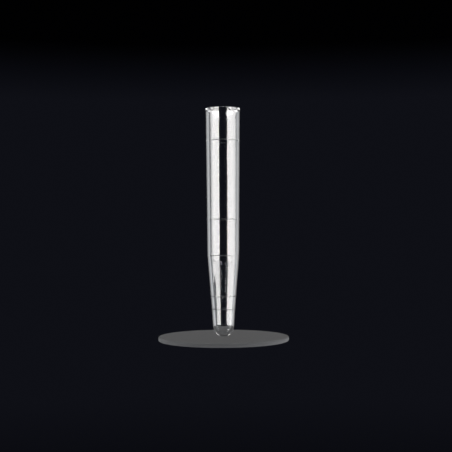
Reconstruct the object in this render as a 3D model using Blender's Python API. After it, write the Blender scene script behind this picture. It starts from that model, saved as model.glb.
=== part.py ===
"""A conical 12 ml test tube of 16 x 105 mm, moulded in clear polystyrene, with five graduation rings.

The frame: +Z up along the tube's axis, with the origin at the middle of the small gate flat that the
tube ends in. Dimensions are in millimetres up to the point where a mesh is made, which is in metres.
The tube is one turned wall: a lip, a slightly tapered barrel, a cone, a narrow foot and a round end.
Each graduation ring is a thin raised band around that wall: an object of its own, at its own height.
"""

import math

import bmesh
import bpy

METRES_PER_MM = 0.001

# The tube from its mouth down, outside measures.
TUBE_HEIGHT = 105.0
LIP_RADIUS = 8.2
LIP_HEIGHT = 1.35
BARREL_TOP_RADIUS = 7.95
SHOULDER_RADIUS = 7.4
SHOULDER_HEIGHT = 37.1
FOOT_RADIUS = 5.38
FOOT_HEIGHT = 12.5
END_RADIUS = 4.93
GATE_RADIUS = 1.0

# The wall, and how its corners are eased.
WALL = 1.0
END_THICKNESS = 1.3
STRETCH_ROUNDING = 20.0
RIM_ROUNDING = 0.3
LIP_CHAMFER = 0.25

# The height of the ring that marks each volume, and the rings' cross-section. The clearance keeps a
# ring's solid apart from the wall's, which it would be part of on a moulded tube.
RING_HEIGHTS = {
    "10_ml": 90.0,
    "5_ml": 53.7,
    "2_5_ml": SHOULDER_HEIGHT,
    "1_ml": 18.35,
    "0_5_ml": FOOT_HEIGHT,
}
RING_WIDTH = 0.5
RING_PROUD = 0.18
RING_CLEARANCE = 0.03

# Every turned mesh has the same number of sides, so that the rings' facets lie parallel to the wall's.
TURNED_SIDES = 48
END_ARC_STEP = math.radians(11.25)
CORNER_ARC_STEP = math.radians(30.0)
RING_BACK_STEPS = 4
MERGE_METRES = 0.000001
SHARP_ABOVE = math.radians(35.0)

CLEAR_POLYSTYRENE = {
    "Base Color": (0.94, 0.955, 0.965, 1.0),
    "Roughness": 0.04,
    "Metallic": 0.0,
    "IOR": 1.59,
    "Transmission Weight": 1.0,
}


def empty_the_scene():
    for obj in list(bpy.data.objects):
        bpy.data.objects.remove(obj, do_unlink=True)


def plastic_material(name):
    material = bpy.data.materials.new(name)
    material.use_nodes = True
    shader = material.node_tree.nodes["Principled BSDF"]
    for socket, value in CLEAR_POLYSTYRENE.items():
        shader.inputs[socket].default_value = value
    return material


def arc(centre, radius, start, sweep, step):
    """Points on a circle, from the angle start through sweep, in equal steps of at most step."""
    count = max(1, math.ceil(abs(sweep) / step - 1e-6))
    angles = (start + sweep * i / count for i in range(count + 1))
    return [(centre[0] + radius * math.cos(a), centre[1] + radius * math.sin(a)) for a in angles]


def eased(previous, corner, following, radius):
    """The arc that eases a corner of an outline, from the previous point's side to the following one's."""
    to_previous = math.atan2(previous[1] - corner[1], previous[0] - corner[0])
    to_following = math.atan2(following[1] - corner[1], following[0] - corner[0])
    opening = math.remainder(to_following - to_previous, math.tau)
    reach = radius / math.sin(abs(opening) / 2)
    middle = to_previous + opening / 2
    centre = (corner[0] + reach * math.cos(middle), corner[1] + reach * math.sin(middle))
    start = to_previous - math.copysign(math.pi / 2, opening)
    sweep = -math.copysign(math.pi - abs(opening), opening)
    return arc(centre, radius, start, sweep, CORNER_ARC_STEP)


def wall_outline(inset, end_radius, end_centre_height, end_start):
    """One side of the wall, from its round end up to the barrel's top, inset from the outside measures."""
    foot = (FOOT_RADIUS - inset, FOOT_HEIGHT)
    shoulder = (SHOULDER_RADIUS - inset, SHOULDER_HEIGHT)
    top = (BARREL_TOP_RADIUS - inset, TUBE_HEIGHT - LIP_HEIGHT)
    up_to_foot = foot[1] - end_centre_height
    # The foot's taper is the line from the foot that touches the round end.
    taper = math.atan2(foot[0], up_to_foot) - math.asin(end_radius / math.hypot(foot[0], up_to_foot))
    round_end = arc((0.0, end_centre_height), end_radius, end_start, -taper - end_start, END_ARC_STEP)
    return [
        *round_end,
        *eased(round_end[-1], foot, shoulder, STRETCH_ROUNDING),
        *eased(foot, shoulder, top, STRETCH_ROUNDING),
        top,
    ]


def outer_outline():
    """The outside of the wall, from the edge of the gate flat up to the underside of the lip."""
    gate_angle = math.acos(GATE_RADIUS / END_RADIUS)
    return wall_outline(0.0, END_RADIUS, END_RADIUS * math.sin(gate_angle), -gate_angle)


def inner_outline():
    """The inside of the wall, from the axis up."""
    end_radius = END_RADIUS - WALL
    outline = wall_outline(WALL, end_radius, END_THICKNESS + end_radius, -math.pi / 2)
    return [(0.0, END_THICKNESS), *outline[1:]]


def lip_outline():
    """The lip, from its chamfered underside over the flat rim and into the mouth."""
    bore_radius = BARREL_TOP_RADIUS - WALL
    underside = (LIP_RADIUS, TUBE_HEIGHT - LIP_HEIGHT + LIP_CHAMFER)
    outer_corner = (LIP_RADIUS, TUBE_HEIGHT)
    inner_corner = (bore_radius, TUBE_HEIGHT)
    mouth = (bore_radius, TUBE_HEIGHT - LIP_HEIGHT)
    return [
        underside,
        *eased(underside, outer_corner, inner_corner, RIM_ROUNDING),
        *eased(outer_corner, inner_corner, mouth, RIM_ROUNDING),
    ]


def tube_outline():
    """The tube's whole section: up the inside from the axis, over the lip and down to the gate."""
    outside = [*outer_outline(), *lip_outline()]
    return [*inner_outline(), *reversed(outside), (0.0, 0.0)]


def wall_radius(height):
    """The outside radius of the wall at this height."""
    outline = outer_outline()
    for (low_radius, low), (high_radius, high) in zip(outline, outline[1:]):
        if low <= height <= high:
            share = (height - low) / (high - low)
            return low_radius + share * (high_radius - low_radius)
    raise ValueError(f"the wall doesn't reach {height} mm")


def ring_outline(height):
    """A ring's section, up from its own height: a face that follows the wall, and a rounded back."""
    half_width = RING_WIDTH / 2
    face = [(wall_radius(height + z) + RING_CLEARANCE, z) for z in (-half_width, 0.0, half_width)]
    back = []
    for i in range(1, RING_BACK_STEPS):
        angle = math.pi * i / RING_BACK_STEPS
        z = half_width * math.cos(angle)
        thickness = (RING_PROUD - RING_CLEARANCE) * math.sin(angle)
        back.append((wall_radius(height + z) + RING_CLEARANCE + thickness, z))
    return [*face, *back]


def turned(name, outline, closed):
    """An object whose mesh is an outline of (radius, height) points, down its outer side, turned about Z."""
    form = bmesh.new()
    points = [form.verts.new((r * METRES_PER_MM, 0.0, z * METRES_PER_MM)) for r, z in outline]
    edges = [form.edges.new(ends) for ends in zip(points, points[1:])]
    if closed:
        edges.append(form.edges.new((points[-1], points[0])))
    bmesh.ops.spin(
        form,
        geom=[*points, *edges],
        cent=(0.0, 0.0, 0.0),
        axis=(0.0, 0.0, 1.0),
        angle=math.tau,
        steps=TURNED_SIDES,
    )
    bmesh.ops.remove_doubles(form, verts=form.verts, dist=MERGE_METRES)
    mesh = bpy.data.meshes.new(name)
    form.to_mesh(mesh)
    form.free()
    mesh.shade_smooth()
    mesh.set_sharp_from_angle(angle=SHARP_ABOVE)
    mesh.materials.append(plastic_material(name + "_plastic"))
    obj = bpy.data.objects.new(name, mesh)
    bpy.context.scene.collection.objects.link(obj)
    return obj


def make_tube():
    return turned("tube_body", tube_outline(), closed=False)


def make_graduation_rings(tube):
    for volume, height in RING_HEIGHTS.items():
        ring = turned("graduation_ring_" + volume, ring_outline(height), closed=True)
        ring.parent = tube
        ring.location.z = height * METRES_PER_MM


empty_the_scene()
make_graduation_rings(make_tube())
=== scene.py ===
"""The looks of a clear, moulded polystyrene test tube with graduation rings, on a small pale floor."""

import math

import bpy
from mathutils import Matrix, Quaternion, Vector


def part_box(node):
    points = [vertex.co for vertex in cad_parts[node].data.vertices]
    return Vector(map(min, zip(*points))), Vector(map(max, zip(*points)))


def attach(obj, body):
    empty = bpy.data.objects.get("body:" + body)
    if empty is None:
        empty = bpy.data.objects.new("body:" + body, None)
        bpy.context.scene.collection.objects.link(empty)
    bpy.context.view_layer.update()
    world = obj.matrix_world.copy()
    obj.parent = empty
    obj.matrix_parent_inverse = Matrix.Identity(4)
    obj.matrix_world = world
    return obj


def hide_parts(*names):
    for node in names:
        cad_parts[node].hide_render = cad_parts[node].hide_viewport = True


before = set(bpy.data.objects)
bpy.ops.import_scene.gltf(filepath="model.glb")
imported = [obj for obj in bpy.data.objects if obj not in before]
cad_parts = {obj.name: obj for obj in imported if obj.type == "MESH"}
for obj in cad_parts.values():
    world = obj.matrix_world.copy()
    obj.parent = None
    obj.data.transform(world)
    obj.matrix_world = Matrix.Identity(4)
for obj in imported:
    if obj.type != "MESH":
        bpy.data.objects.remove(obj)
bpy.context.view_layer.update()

MM = 0.001
RINGS = sorted(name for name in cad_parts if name.startswith("graduation_ring"))

# ---------------------------------------------------------------- sizes, in metres

# The turned pieces have this many sides. Their outlines take the round end, the lip's corners and the
# shallow joins between stretches in steps of these angles.
SIDES = 160
ARC_STEP = math.radians(5.0)
CORNER_STEP = math.radians(15.0)
JOIN_STEP = math.radians(0.5)
# Straight stretches are cut into short lengths, so that shading at their ends doesn't reach far.
STRETCH_STEP = 2.5 * MM

# The wall. What the frame can't tell from outside is stated here.
WALL = 1.0 * MM
END_THICKNESS = 1.3 * MM
END_RADIUS = 4.93 * MM
GATE_RADIUS = 1.0 * MM
LIP_HEIGHT = 1.35 * MM
LIP_CHAMFER = 0.25 * MM
LIP_ROUNDING = 0.32 * MM
JOIN_ROUNDING = 60.0 * MM
# The bottom of the inside ends in a fan of faces, this far from the axis.
INNER_POLE_RADIUS = 0.1 * MM

# A ring. Its solid stands this proud of the wall. The bead that is drawn is lower and narrower, so that
# it shows as a fine line. It has a gap to the wall and a thin edge, and its back swells beyond those.
SOLID_RING_PROUD = 0.18 * MM
BEAD_GAP = 0.01 * MM
BEAD_EDGE = 0.008 * MM
BEAD_PROUD = 0.055 * MM
BEAD_HALF_WIDTH = 0.18 * MM
BEAD_STEPS = 16

SMOOTH_BELOW = math.radians(40.0)


# ---------------------------------------------------------------- outlines: (radius, height)


def ring_place(node):
    """The wall's radius under a ring, and the ring's height."""
    low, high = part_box(node)
    return high.x - SOLID_RING_PROUD, (low.z + high.z) / 2


def arc(centre, radius, start, sweep, step):
    """Points on a circle from the angle start through sweep."""
    count = max(1, math.ceil(abs(sweep) / step - 1e-6))
    angles = (start + sweep * i / count for i in range(count + 1))
    return [(centre[0] + radius * math.cos(a), centre[1] + radius * math.sin(a)) for a in angles]


def eased(previous, corner, following, radius, step):
    """The arc that eases a corner of an outline, between its neighbours."""
    to_previous = math.atan2(previous[1] - corner[1], previous[0] - corner[0])
    to_following = math.atan2(following[1] - corner[1], following[0] - corner[0])
    opening = math.remainder(to_following - to_previous, math.tau)
    reach = radius / math.sin(abs(opening) / 2)
    middle = to_previous + opening / 2
    centre = (corner[0] + reach * math.cos(middle), corner[1] + reach * math.sin(middle))
    start = to_previous - math.copysign(math.pi / 2, opening)
    sweep = -math.copysign(math.pi - abs(opening), opening)
    return arc(centre, radius, start, sweep, step)


def with_short_stretches(outline):
    """The outline with points added so that no stretch is longer than STRETCH_STEP."""
    filled = [outline[0]]
    for (r0, z0), (r1, z1) in zip(outline, outline[1:]):
        count = max(1, math.ceil(math.hypot(r1 - r0, z1 - z0) / STRETCH_STEP))
        filled += [(r0 + (r1 - r0) * i / count, z0 + (z1 - z0) * i / count) for i in range(1, count + 1)]
    return filled


class Wall:
    """The tube's wall as the frame gives it: a foot, a cone and a barrel, between a round end and a lip."""

    def __init__(self):
        low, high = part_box("tube_body")
        self.height = high.z
        self.lip_radius = high.x
        upper = ring_place("graduation_ring_10_ml")
        middle = ring_place("graduation_ring_5_ml")
        slope = (upper[0] - middle[0]) / (upper[1] - middle[1])
        self.lip_foot = self.height - LIP_HEIGHT
        self.barrel_radius = upper[0] + slope * (self.lip_foot - upper[1])
        self.shoulder = ring_place("graduation_ring_2_5_ml")
        self.foot = ring_place("graduation_ring_0_5_ml")

    def side(self, inset, end_radius, end_centre_height, end_start):
        """One side of the wall from its round end up to the lip, inset from the outside."""
        foot = (self.foot[0] - inset, self.foot[1])
        shoulder = (self.shoulder[0] - inset, self.shoulder[1])
        top = (self.barrel_radius - inset, self.lip_foot)
        rise = foot[1] - end_centre_height
        taper = math.atan2(foot[0], rise) - math.asin(end_radius / math.hypot(foot[0], rise))
        round_end = arc((0.0, end_centre_height), end_radius, end_start, -taper - end_start, ARC_STEP)
        return [
            *round_end,
            *eased(round_end[-1], foot, shoulder, JOIN_ROUNDING, JOIN_STEP),
            *eased(foot, shoulder, top, JOIN_ROUNDING, JOIN_STEP),
            top,
        ]

    def outside(self):
        """From the edge of the gate mark up to the lip."""
        gate_angle = math.acos(GATE_RADIUS / END_RADIUS)
        return self.side(0.0, END_RADIUS, END_RADIUS * math.sin(gate_angle), -gate_angle)

    def lip(self):
        """Over the lip, from its underside into the mouth."""
        bore = self.barrel_radius - WALL
        underside = (self.lip_radius, self.lip_foot + LIP_CHAMFER)
        outer_corner = (self.lip_radius, self.height)
        inner_corner = (bore, self.height)
        mouth = (bore, self.lip_foot)
        return [
            underside,
            *eased(underside, outer_corner, inner_corner, LIP_ROUNDING, CORNER_STEP),
            *eased(outer_corner, inner_corner, mouth, LIP_ROUNDING, CORNER_STEP),
        ]

    def inside(self):
        """From the lip down to the middle of the inner end."""
        radius = END_RADIUS - WALL
        start = -math.acos(INNER_POLE_RADIUS / radius)
        return self.side(WALL, radius, END_THICKNESS + radius, start)[::-1]

    def slope(self, height):
        """How fast the wall widens with height, on the cone and on the barrel."""
        if height < self.shoulder[1]:
            low, high = self.foot, self.shoulder
        else:
            low, high = self.shoulder, (self.barrel_radius, self.lip_foot)
        return (high[0] - low[0]) / (high[1] - low[1])


def bead_outline(node, wall):
    """A ring's section, from the upper edge along the wall, over its low, bell-shaped back, and down."""
    radius, height = ring_place(node)
    slope = wall.slope(height)
    face = radius + BEAD_GAP
    points = []
    for i in range(BEAD_STEPS + 1):
        across = 1 - 2 * i / BEAD_STEPS
        z = BEAD_HALF_WIDTH * across
        swell = BEAD_EDGE + BEAD_PROUD * math.cos(math.pi / 2 * across) ** 2
        points.append((face + slope * z + swell, height + z))
    top = (face + slope * BEAD_HALF_WIDTH, height + BEAD_HALF_WIDTH)
    bottom = (face - slope * BEAD_HALF_WIDTH, height - BEAD_HALF_WIDTH)
    return [top, *points, bottom]


# ---------------------------------------------------------------- pieces


def start_alone():
    """Nothing is selected, so that a new piece is modelled on its own."""
    bpy.ops.object.select_all(action="DESELECT")


def lofted_rings(name, outline):
    """A circle at the outline's first point, extruded and scaled from point to point along it."""
    start_alone()
    radius, height = outline[0]
    bpy.ops.mesh.primitive_circle_add(
        vertices=SIDES, radius=radius, fill_type="NOTHING", location=(0.0, 0.0, height)
    )
    piece = bpy.context.active_object
    piece.name = piece.data.name = name
    bpy.ops.object.transform_apply(location=True, rotation=True, scale=True)
    bpy.ops.object.mode_set(mode="EDIT")
    bpy.ops.mesh.select_all(action="SELECT")
    for (r0, z0), (r1, z1) in zip(outline, outline[1:]):
        bpy.ops.mesh.extrude_region_move(TRANSFORM_OT_translate={"value": (0.0, 0.0, z1 - z0)})
        bpy.ops.transform.resize(value=(r1 / r0, r1 / r0, 1.0), center_override=(0.0, 0.0, z1))
    return piece


def finish_turning():
    """The end of modelling: smooth faces, with only the sharp corners left as edges."""
    bpy.ops.mesh.select_all(action="DESELECT")
    bpy.ops.object.mode_set(mode="OBJECT")
    bpy.ops.object.shade_smooth_by_angle(angle=SMOOTH_BELOW)


def make_tube(wall):
    """The wall: up the inside, over the lip, and down the outside to the gate mark."""
    outline = with_short_stretches([*wall.outside(), *wall.lip(), *wall.inside()])[::-1]
    tube = lofted_rings("tube_wall", outline)
    # The gate mark and the bottom of the inside are closed by fans of triangles.
    bpy.ops.mesh.select_all(action="DESELECT")
    bpy.ops.mesh.select_mode(type="EDGE")
    bpy.ops.mesh.select_non_manifold()
    bpy.ops.mesh.fill_holes(sides=0)
    bpy.ops.mesh.select_mode(type="FACE")
    bpy.ops.mesh.select_all(action="DESELECT")
    bpy.ops.mesh.select_face_by_sides(number=SIDES, type="EQUAL", extend=False)
    bpy.ops.mesh.poke()
    bpy.ops.mesh.select_mode(type="VERT")
    finish_turning()
    return tube


def make_bead(node, wall):
    """A graduation ring: its section is turned like the wall's, and closed along the wall."""
    bead = lofted_rings(node.replace("graduation_ring", "ring_bead"), bead_outline(node, wall))
    bpy.ops.mesh.select_all(action="DESELECT")
    bpy.ops.mesh.select_mode(type="EDGE")
    bpy.ops.mesh.select_non_manifold()
    bpy.ops.mesh.bridge_edge_loops()
    bpy.ops.mesh.select_mode(type="VERT")
    finish_turning()
    return bead


# ---------------------------------------------------------------- materials

POLYSTYRENE_IOR = 1.59
# The waves of the mould's ripple are this long around the tube, and longer along it.
RIPPLE_LENGTH = 7.0 * MM
RIPPLE_STRETCH = (1.0, 1.0, 0.35)
# Fine handling marks are a few hundredths of a millimetre wide. That is too fine to show, so they are
# drawn this wide. They run along the tube.
MARK_WIDTH = 0.5 * MM
MARK_STRETCH = (1.0, 1.0, 0.04)
# The roughness rises from the polish to the haze between these levels of the marks' noise.
MARK_LEVELS = (0.45, 0.75)
# The grain of the board's lacquer, which is also drawn coarser than it is.
GRAIN_WIDTH = 1.5 * MM
GRAIN_DEPTH = 0.005 * MM


def linear(hex_colour):
    """An sRGB hex colour as linear RGBA."""
    channels = [int(hex_colour[i : i + 2], 16) / 255 for i in (1, 3, 5)]
    return (*(c / 12.92 if c <= 0.04045 else ((c + 0.055) / 1.055) ** 2.4 for c in channels), 1.0)


def add_node(tree, kind, settings=(), **inputs):
    """A node with its settings, and its inputs by name: a value, or another node's output to link."""
    node = tree.nodes.new(kind)
    for key, value in dict(settings).items():
        setattr(node, key, value)
    for key, value in inputs.items():
        socket = node.inputs[key.replace("_", " ")]
        if isinstance(value, bpy.types.NodeSocket):
            tree.links.new(value, socket)
        else:
            socket.default_value = value
    return node


def new_material(name):
    material = bpy.data.materials.new(name)
    material.use_nodes = True
    material.node_tree.nodes.clear()
    return material, material.node_tree


def clear_polystyrene(name, colour, ripple, polish, haze):
    """Injection-moulded polystyrene: glassy, and as smooth as its mould.

    The ripple of the mould makes reflections waver a little along their edges. The roughness goes from
    the mould's polish to the haze of fine handling marks, which takes the last of the mirror off it.
    """
    material, tree = new_material(name)
    place = add_node(tree, "ShaderNodeTexCoord")
    ripple_coordinates = add_node(
        tree, "ShaderNodeMapping", Vector=place.outputs["Object"], Scale=RIPPLE_STRETCH
    )
    waves = add_node(
        tree,
        "ShaderNodeTexNoise",
        Vector=ripple_coordinates.outputs["Vector"],
        Scale=1 / RIPPLE_LENGTH,
        Detail=1.0,
        Roughness=0.4,
    )
    bump = add_node(
        tree,
        "ShaderNodeBump",
        Height=waves.outputs["Fac"],
        Strength=1.0,
        Distance=ripple,
    )
    mark_coordinates = add_node(
        tree, "ShaderNodeMapping", Vector=place.outputs["Object"], Scale=MARK_STRETCH
    )
    marks = add_node(
        tree,
        "ShaderNodeTexNoise",
        Vector=mark_coordinates.outputs["Vector"],
        Scale=1 / MARK_WIDTH,
        Detail=3.0,
        Roughness=0.7,
    )
    roughness = add_node(
        tree,
        "ShaderNodeMapRange",
        Value=marks.outputs["Fac"],
        From_Min=MARK_LEVELS[0],
        From_Max=MARK_LEVELS[1],
        To_Min=polish,
        To_Max=haze,
    )
    shader = add_node(
        tree,
        "ShaderNodeBsdfPrincipled",
        Base_Color=linear(colour),
        Metallic=0.0,
        IOR=POLYSTYRENE_IOR,
        Transmission_Weight=1.0,
        Roughness=roughness.outputs["Result"],
        Normal=bump.outputs["Normal"],
    )
    add_node(tree, "ShaderNodeOutputMaterial", Surface=shader.outputs["BSDF"])
    return material


def lacquered_board():
    """Matt-lacquered board: an even, pale grey with no sheen, and a fine grain."""
    material, tree = new_material("matt_lacquered_board")
    place = add_node(tree, "ShaderNodeTexCoord")
    grain = add_node(
        tree, "ShaderNodeTexNoise", Vector=place.outputs["Object"], Scale=1 / GRAIN_WIDTH, Detail=4.0
    )
    bump = add_node(tree, "ShaderNodeBump", Height=grain.outputs["Fac"], Distance=GRAIN_DEPTH)
    shader = add_node(
        tree,
        "ShaderNodeBsdfPrincipled",
        Base_Color=linear("#d8d9db"),
        Roughness=0.7,
        Specular_IOR_Level=0.0,
        Normal=bump.outputs["Normal"],
    )
    add_node(tree, "ShaderNodeOutputMaterial", Surface=shader.outputs["BSDF"])
    return material


def paint(piece, material):
    piece.data.materials.clear()
    piece.data.materials.append(material)


# ---------------------------------------------------------------- floor

FLOOR_RADIUS = 30 * MM
FLOOR_THICKNESS = 2 * MM
FLOOR_EDGE = 0.6 * MM
FLOOR_EDGE_SEGMENTS = 3


def make_floor():
    """A small round floor, so that the tube has the dark of the room behind it."""
    start_alone()
    bpy.ops.mesh.primitive_cylinder_add(
        vertices=SIDES,
        radius=FLOOR_RADIUS,
        depth=FLOOR_THICKNESS,
        location=(0.0, 0.0, -FLOOR_THICKNESS / 2),
    )
    floor = bpy.context.active_object
    floor.name = "floor"
    bpy.ops.object.transform_apply(location=True, rotation=True, scale=True)
    edge = floor.modifiers.new("edge", "BEVEL")
    edge.width = FLOOR_EDGE
    edge.segments = FLOOR_EDGE_SEGMENTS
    bpy.ops.object.modifier_apply(modifier=edge.name)
    bpy.ops.object.shade_smooth_by_angle(angle=SMOOTH_BELOW)
    paint(floor, lacquered_board())


# ---------------------------------------------------------------- lights

# What the lights face, and how far from the tube the panels stand.
MIDDLE = Vector((0.0, 0.0, 0.05))
PANEL_DISTANCE = 0.9
# The panels at the sides: from azimuth to azimuth, the lowest and highest elevation that each reaches
# to, and its radiance. Each side has a row of them, and the further back one stands, the dimmer it is.
PANELS = (
    ("left_front_panel", (-68, -25.5), (-10, 42), 14.5),
    ("left_low_panel", (-69, -29.5), (-21, -10), 11.5),
    ("left_middle_panel", (-79, -68), (-10.7, 42), 12.0),
    ("left_back_panel", (-91, -79), (-10.7, 42), 7.0),
    ("right_front_panel", (29.5, 72), (-10, 42), 14.5),
    ("right_low_panel", (34.5, 72), (-27, -10), 13.0),
    ("right_middle_panel", (72, 86), (-20, 42), 11.5),
    ("right_back_panel", (86, 97), (-20, 42), 7.5),
)
# The high lights: place, width, height, radiance, and whether it is seen through the plastic. The one
# in front draws the lip's near edge. The two behind, too high to be seen straight through the wall,
# draw the round end's outline, and the two beside them light the lip's sides.
HIGH_LIGHTS = (
    ("high_light_in_front", (0.0, -0.35, 0.85), 1.4, 0.3, 9.0, False),
    ("left_light_behind", (-0.56, 0.82, 0.41), 0.4, 0.25, 9.0, True),
    ("right_light_behind", (0.56, 0.82, 0.41), 0.4, 0.25, 5.0, True),
    ("left_lip_light", (-0.8, 0.6, 0.41), 0.5, 0.25, 7.0, True),
    ("right_lip_light", (0.8, 0.6, 0.41), 0.5, 0.25, 7.0, True),
)
# The floor has a light of its own overhead: place, width, height and radiance. It is kept dim, because
# the round end shows whatever brightness the floor has.
FLOOR_LIGHT = ((0.0, 0.0, 0.9), 1.2, 1.2, 0.3)
LIGHT_COLOUR = "#fffdfc"


def around(azimuth, distance, height):
    """A point around the tube: azimuth 0 is in front of it, and 90 is on its right."""
    angle = math.radians(azimuth)
    return Vector((distance * math.sin(angle), -distance * math.cos(angle), height))


def soft_light(name, place, width, height, radiance, seen_through):
    """A rectangle of light that faces the tube. A fully lit white surface has a radiance of 1.

    It shows wherever the plastic mirrors it. One that isn't also seen through the plastic doesn't stand
    behind the tube as a white wall, from the other side. It doesn't light the floor.
    """
    data = bpy.data.lights.new(name, "AREA")
    data.shape = "RECTANGLE"
    data.size, data.size_y = width, height
    data.energy = radiance * math.pi * width * height
    data.color = linear(LIGHT_COLOUR)[:3]
    light = bpy.data.objects.new(name, data)
    bpy.context.scene.collection.objects.link(light)
    light.location = Vector(place)
    light.rotation_mode = "QUATERNION"
    light.rotation_quaternion = (MIDDLE - light.location).to_track_quat("-Z", "Y")
    light.visible_transmission = seen_through
    light.visible_diffuse = False
    return light


def make_panel(name, azimuths, elevations, radiance):
    """A panel that stands upright, from azimuth to azimuth and from elevation to elevation."""
    low, high = (PANEL_DISTANCE * math.tan(math.radians(e)) for e in elevations)
    half_angle = math.radians(azimuths[1] - azimuths[0]) / 2
    width = 2 * PANEL_DISTANCE * math.tan(half_angle)
    place = around(sum(azimuths) / 2, PANEL_DISTANCE, MIDDLE.z)
    panel = soft_light(name, place, width, high - low, radiance, seen_through=False)
    panel.location.z += (low + high) / 2


def make_lights():
    for panel in PANELS:
        make_panel(*panel)
    for light in HIGH_LIGHTS:
        soft_light(*light)
    # The floor's light is for the floor only: the plastic neither mirrors it nor shows it behind itself.
    floor_light = soft_light("floor_light", *FLOOR_LIGHT, seen_through=False)
    floor_light.visible_diffuse = True
    floor_light.visible_glossy = False


# ---------------------------------------------------------------- room

# The room's brightness by azimuth, from behind the tube (-180) over its left, front and right: grey
# walls at the sides, and none behind the tube or behind the camera.
ROOM = (
    (-180, 0.0),
    (-162, 0.0),
    (-155, 0.4),
    (-135, 0.45),
    (-118, 0.9),
    (-104, 0.55),
    (-95, 0.45),
    (-32, 0.4),
    (-24, 0.0),
    (24, 0.0),
    (32, 0.4),
    (95, 0.7),
    (105, 1.2),
    (120, 0.75),
    (140, 0.4),
    (157, 0.35),
    (164, 0.0),
    (180, 0.0),
)
# The colour ramp holds the room's brightness as a share of this.
ROOM_PEAK = 1.5
# The colour of the walls, and the faint, bluish light of the dark.
WALLS = linear("#fcfdff")[:3]
DARK = (0.0046, 0.005, 0.0078)
# How much of that there is at each elevation: the walls give way to a dim ceiling and a dim ground.
ROOM_HEIGHT = ((-90, 0.3), (-30, 0.3), (-15, 0.55), (-10, 1.0), (9.5, 1.0), (13, 0.05), (90, 0.01))


def set_stops(ramp, stops):
    """The colour ramp gets these stops, as (position, colour), in place of its own two."""
    elements = ramp.color_ramp.elements
    elements.remove(elements[1])
    for i, (position, colour) in enumerate(stops):
        stop = elements[0] if i == 0 else elements.new(position)
        stop.position = position
        stop.color = (*colour, 1.0)


def make_room():
    """The world: grey side walls, and darkness behind the tube and behind the camera."""
    world = bpy.data.worlds.new("studio_room")
    bpy.context.scene.world = world
    world.use_nodes = True
    tree = world.node_tree
    tree.nodes.clear()
    place = add_node(tree, "ShaderNodeTexCoord")
    # Turned so that the radial gradient runs from behind the tube, over its left, to its right.
    turned = add_node(
        tree,
        "ShaderNodeMapping",
        Vector=place.outputs["Generated"],
        Rotation=(0.0, 0.0, math.radians(90)),
    )
    sweep = add_node(
        tree, "ShaderNodeTexGradient", {"gradient_type": "RADIAL"}, Vector=turned.outputs["Vector"]
    )
    apart = add_node(tree, "ShaderNodeSeparateXYZ", Vector=place.outputs["Generated"])
    height = add_node(
        tree, "ShaderNodeMapRange", Value=apart.outputs["Z"], From_Min=-1.0, From_Max=1.0
    )
    walls = add_node(tree, "ShaderNodeValToRGB", Fac=sweep.outputs["Fac"])
    stops = []
    for azimuth, level in ROOM:
        colour = [(level * wall + dark) / ROOM_PEAK for wall, dark in zip(WALLS, DARK)]
        stops.append(((azimuth + 180) / 360, colour))
    set_stops(walls, stops)
    share = add_node(tree, "ShaderNodeValToRGB", Fac=height.outputs["Result"])
    stops = []
    for elevation, level in ROOM_HEIGHT:
        stops.append(((math.sin(math.radians(elevation)) + 1) / 2, [level] * 3))
    set_stops(share, stops)
    # A Math node's two inputs have the same name, so they are taken by number.
    strength = add_node(tree, "ShaderNodeMath", {"operation": "MULTIPLY"})
    tree.links.new(share.outputs["Color"], strength.inputs[0])
    strength.inputs[1].default_value = ROOM_PEAK
    background = add_node(
        tree, "ShaderNodeBackground", Color=walls.outputs["Color"], Strength=strength.outputs["Value"]
    )
    add_node(tree, "ShaderNodeOutputWorld", Surface=background.outputs["Background"])


# ---------------------------------------------------------------- camera

# Where the camera stands, in front of the tube and a little to its right.
CAMERA_DISTANCE = 0.400
CAMERA_HEIGHT = 0.042
CAMERA_ASIDE = 0.0013
# The height on the tube that it aims at, and how far it leans over.
AIM_HEIGHT = 0.0507
CAMERA_ROLL = math.radians(-0.25)
# The view is this wide at the tube.
VIEW_WIDTH = 0.2089
SENSOR_MM = 36.0


def make_camera():
    """A long lens, level with the lower half of the tube."""
    data = bpy.data.cameras.new("camera")
    data.sensor_width = SENSOR_MM
    data.lens = SENSOR_MM * CAMERA_DISTANCE / VIEW_WIDTH
    camera = bpy.data.objects.new("camera", data)
    bpy.context.scene.collection.objects.link(camera)
    camera.location = (CAMERA_ASIDE, -CAMERA_DISTANCE, CAMERA_HEIGHT)
    aim = Vector((CAMERA_ASIDE, 0.0, AIM_HEIGHT)) - camera.location
    camera.rotation_mode = "QUATERNION"
    roll = Quaternion((0.0, 0.0, 1.0), CAMERA_ROLL)
    camera.rotation_quaternion = aim.to_track_quat("-Z", "Y") @ roll
    bpy.context.scene.camera = camera


# ---------------------------------------------------------------- the scene

make_camera()
make_room()
make_lights()
make_floor()

wall = Wall()
tube = make_tube(wall)
# The mould is polished, so the wall is as clear as glass, with no colour of its own.
paint(tube, clear_polystyrene("moulded_polystyrene", "#fbfcfd", ripple=0.004 * MM, polish=0.01, haze=0.02))
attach(tube, "root")
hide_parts("tube_body")
# The floor isn't lit by what the tube mirrors, just as it isn't lit by the panels themselves.
tube.visible_diffuse = False

# The grooves that mould the rings are scribed, not polished, so a ring is a little matt. Its grey is
# painted shade: the ring is the same clear plastic as the wall, and the grey darkens it so that it shows as
# a fine dark line and stays dim where the lights behind the tube shine through it.
ring_plastic_with_painted_shade = clear_polystyrene(
    "scribed_polystyrene_with_painted_shade", "#6c6e72", ripple=0.001 * MM, polish=0.25, haze=0.33
)
for ring in RINGS:
    bead = make_bead(ring, wall)
    paint(bead, ring_plastic_with_painted_shade)
    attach(bead, "root")
    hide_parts(ring)

bpy.context.scene.view_settings.view_transform = "Standard"
